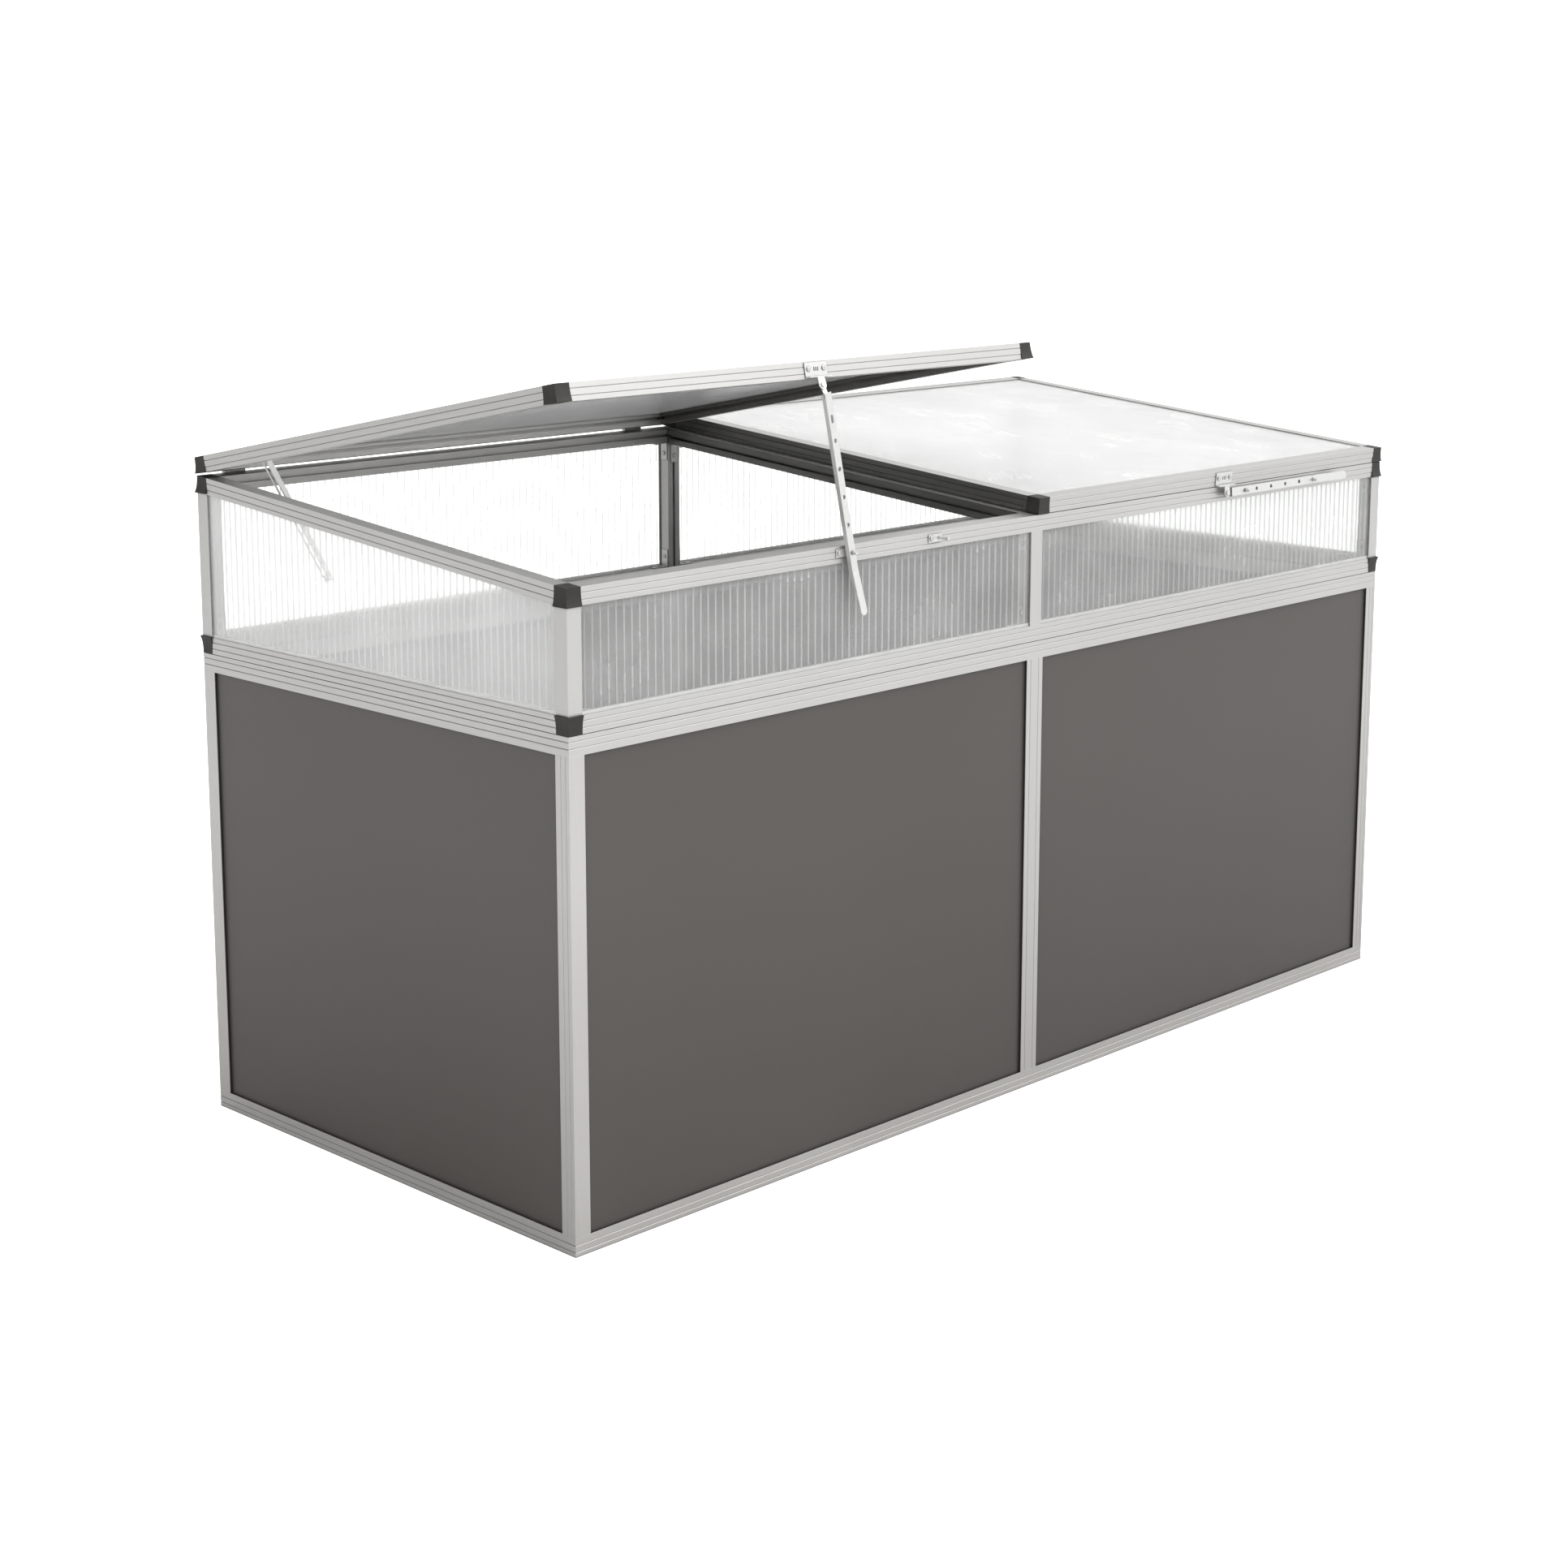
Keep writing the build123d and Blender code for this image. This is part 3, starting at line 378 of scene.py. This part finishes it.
def twin_wall_sheet(skin, skin_clear, lightness):
    """Twin-wall polycarbonate with whiter ribs; skin is the normal of the sheet's two skins."""
    material, tree, shader = new_material("twin_wall_polycarbonate")
    here = place(tree)
    haze = noise(tree, here, 9, 2)
    facing = add(tree, "ShaderNodeVectorMath", operation="DOT_PRODUCT")
    tree.links.new(add(tree, "ShaderNodeTexCoord").outputs["Normal"], facing.inputs[0])
    facing.inputs[1].default_value = skin
    on_skin = combine(tree, "GREATER_THAN", combine(tree, "ABSOLUTE", facing.outputs["Value"], 0), 0.5)
    low = lightness - sheet_drift
    high = lightness + sheet_drift
    faint_greens = ((low, low + 0.003, low), (high, high + 0.002, high))
    colour = drift(tree, haze, faint_greens)
    clear = span(tree, on_skin, rib_clear, skin_clear, 0, 1)
    clear = combine(tree, "SUBTRACT", clear, span(tree, haze, 0, 0.02))
    rough = span(tree, on_skin, rib_rough, skin_rough, 0, 1)
    rough = combine(tree, "ADD", rough, span(tree, haze, 0, 0.03))
    feed(tree, shader, Base_Color=colour, Transmission_Weight=clear, IOR=sheet_ior, Roughness=rough)
    return material


# ------------------------------------------------------------- dress the nodes

def bar_direction(node):
    """Unit direction of the longest edge, which runs along the bar."""
    points = node.data.vertices
    edges = (points[e.vertices[1]].co - points[e.vertices[0]].co for e in node.data.edges)
    longest = max(edges, key=lambda edge: edge.length)
    return longest.normalized()


def sheet_clarity_and_painted_light(name):
    """How clear the sheet's skins are, and how light its plastic is; the ends and the lids get milkier
    painted light.
    """
    if "lid" in name:
        return lid_sheet_painted_light
    low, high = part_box(name)
    return end_sheet_painted_light if high.y - low.y > high.x - low.x else long_side_sheet


def dress_nodes():
    """Give every CAD node the material of its slot."""
    bars = {}
    shared = {
        "hinge_aluminium": plain_metal("hinge_aluminium_satin", *hinge_finish),
        "cleat_aluminium": plain_metal("mill_aluminium", *cleat_finish),
        "zinc_steel": plain_metal("bright_zinc", *zinc_finish),
        "screw_steel": plain_metal("bright_screw_steel", *screw_finish),
        "anthracite_panel": anthracite_panel(),
        "black_connector": moulded_black(),
        "gasket_rubber": gasket_rubber(),
    }
    for name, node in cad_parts.items():
        slot = slot_of[name]
        if slot == "bar_aluminium":
            direction = bar_direction(node)
            key = tuple(round(abs(x), 2) for x in direction)
            if key not in bars:
                bars[key] = bar_aluminium(direction)
            node.material_slots[0].material = bars[key]
        elif slot == "twin_wall_sheet":
            widest = max(node.data.polygons, key=lambda face: face.area)
            node.material_slots[0].material = twin_wall_sheet(widest.normal, *sheet_clarity_and_painted_light(name))
        else:
            node.material_slots[0].material = shared[slot]


# ------------------------------------------------------------------ added pieces

def edge_tape_material():
    """White breather tape: a satin film with a fine woven crinkle."""
    material, tree, shader = new_material("edge_tape_film")
    here = place(tree)
    crinkle = noise(tree, here, 850, 3)
    cloud = noise(tree, here, 30, 2)
    colour = drift(tree, cloud, tape_shades)
    feed(tree, shader, Base_Color=colour, Roughness=span(tree, crinkle, 0.30, 0.45),
         Transmission_Weight=0.55, Normal=bump(tree, crinkle, 0.05 * mm, None, 0.5))
    return material


def tape_outline(half):
    """The folded tape's U in section, as (aside, rise) from the middle of the foot; half is inside."""
    outer = half + tape_thickness
    return [
        (-outer, tape_height), (-outer, -tape_thickness), (outer, -tape_thickness), (outer, tape_height),
        (half, tape_height), (half, 0), (-half, 0), (-half, tape_height),
    ]


def tape_mesh(name, low, high):
    """The folded tape over the foot of a sheet that fills the box from low to high."""
    along = 0 if high.x - low.x > high.y - low.y else 1
    across = 1 - along
    outline = tape_outline((high[across] - low[across]) / 2 + tape_play)
    middle = (high[across] + low[across]) / 2
    count = len(outline)
    points = []
    for end in (low[along] + tape_short, high[along] - tape_short):
        for aside, rise in outline:
            point = Vector((0, 0, low.z + rise))
            point[along] = end
            point[across] = middle + aside
            points.append(point)
    walls = [(i, (i + 1) % count, (i + 1) % count + count, i + count) for i in range(count)]
    near_end = [(1, 2, 5, 6), (0, 1, 6, 7), (2, 3, 4, 5)]
    far_end = [tuple(i + count for i in reversed(face)) for face in near_end]
    mesh = bpy.data.meshes.new(name)
    mesh.from_pydata(points, [], walls + near_end + far_end)
    shape = bmesh.new()
    shape.from_mesh(mesh)
    bmesh.ops.recalc_face_normals(shape, faces=shape.faces)
    shape.to_mesh(mesh)
    shape.free()
    return mesh


def build_edge_tapes():
    """A folded tape over the foot of each upright sheet, closing its flutes; it shows above the rail."""
    ground_shade = edge_tape_material()
    for name in sorted(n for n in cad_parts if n.startswith("frame_glazing_")):
        mesh = tape_mesh(name.replace("glazing", "edge_tape"), *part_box(name))
        mesh.materials.append(ground_shade)
        tape = bpy.data.objects.new(mesh.name, mesh)
        scene.collection.objects.link(tape)
        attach(tape, "frame")


# ---------------------------------------------------------------------- studio

def make_camera():
    """The camera, aimed by its yaw and pitch."""
    camera = bpy.data.objects.new("camera", bpy.data.cameras.new("camera"))
    level = cos(camera_pitch)
    forward = Vector((cos(camera_yaw) * level, sin(camera_yaw) * level, sin(camera_pitch)))
    camera.location = camera_place
    camera.rotation_mode = "QUATERNION"
    camera.rotation_quaternion = forward.to_track_quat("-Z", "Y")
    camera.data.sensor_width = camera_sensor
    camera.data.lens = camera_lens
    camera.data.shift_y = camera_shift
    camera.data.dof.use_dof = False
    scene.collection.objects.link(camera)
    scene.camera = camera


def unreflected(tree):
    """1 for light that comes straight or through the sheets, and 0 for what lights the object."""
    rays = add(tree, "ShaderNodeLightPath").outputs
    bounced = combine(tree, "ADD", rays["Diffuse Depth"], rays["Glossy Depth"])
    return combine(tree, "LESS_THAN", bounced, 0.5)


def make_floor():
    """A pale floor under the object; its glow is seen, and doesn't light the object."""
    mesh = bpy.data.meshes.new("floor")
    half = floor_size / 2
    corners = [(-half, -half, 0), (half, -half, 0), (half, half, 0), (-half, half, 0)]
    mesh.from_pydata(corners, [], [(0, 1, 2, 3)])
    floor = bpy.data.objects.new("floor", mesh)
    scene.collection.objects.link(floor)
    material, tree, shader = new_material("pale_floor")
    cloud = noise(tree, place(tree), 1.5, 2)
    colour = drift(tree, cloud, floor_shades)
    glow = combine(tree, "MULTIPLY", unreflected(tree), floor_glow)
    feed(tree, shader, Base_Color=colour, Roughness=0.9, Emission_Strength=glow)
    mesh.materials.append(material)


def soft_sun(name, source, power, spread, shows_in_gloss=True):
    """A sun that shines from the side of source, wide enough to leave no hard shadow."""
    light = bpy.data.lights.new(name, "SUN")
    light.energy = power
    light.angle = radians(spread)
    sun = bpy.data.objects.new(name, light)
    sun.rotation_mode = "QUATERNION"
    sun.rotation_quaternion = (-Vector(source)).to_track_quat("-Z", "Y")
    sun.visible_glossy = shows_in_gloss
    scene.collection.objects.link(sun)


def make_light():
    """A soft overhead sun leaning to the front and a fill from the left, in white surroundings."""
    world = bpy.data.worlds.new("studio")
    world.use_nodes = True
    tree = world.node_tree
    straight = unreflected(tree)
    side = add(tree, "ShaderNodeVectorMath", operation="DOT_PRODUCT")
    tree.links.new(add(tree, "ShaderNodeTexCoord").outputs["Generated"], side.inputs[0])
    side.inputs[1].default_value = bright_side
    around = span(tree, side.outputs["Value"], *surroundings_level, -1, 1)
    level = combine(tree, "MAXIMUM", combine(tree, "MULTIPLY", straight, backdrop_level), around)
    tree.links.new(level, tree.nodes["Background"].inputs["Strength"])
    tree.nodes["Background"].inputs["Color"].default_value = (1, 1, 1, 1)
    scene.world = world
    soft_sun("overhead", overhead_from, overhead_power, overhead_spread)
    soft_sun("left_fill", left_fill_from, left_fill_power, left_fill_spread, shows_in_gloss=False)
    scene.view_settings.view_transform = "Standard"
    scene.cycles.max_bounces = light_bounces
    scene.cycles.transmission_bounces = light_bounces
    scene.cycles.transparent_max_bounces = light_bounces


make_camera()
dress_nodes()
build_edge_tapes()
make_floor()
make_light()
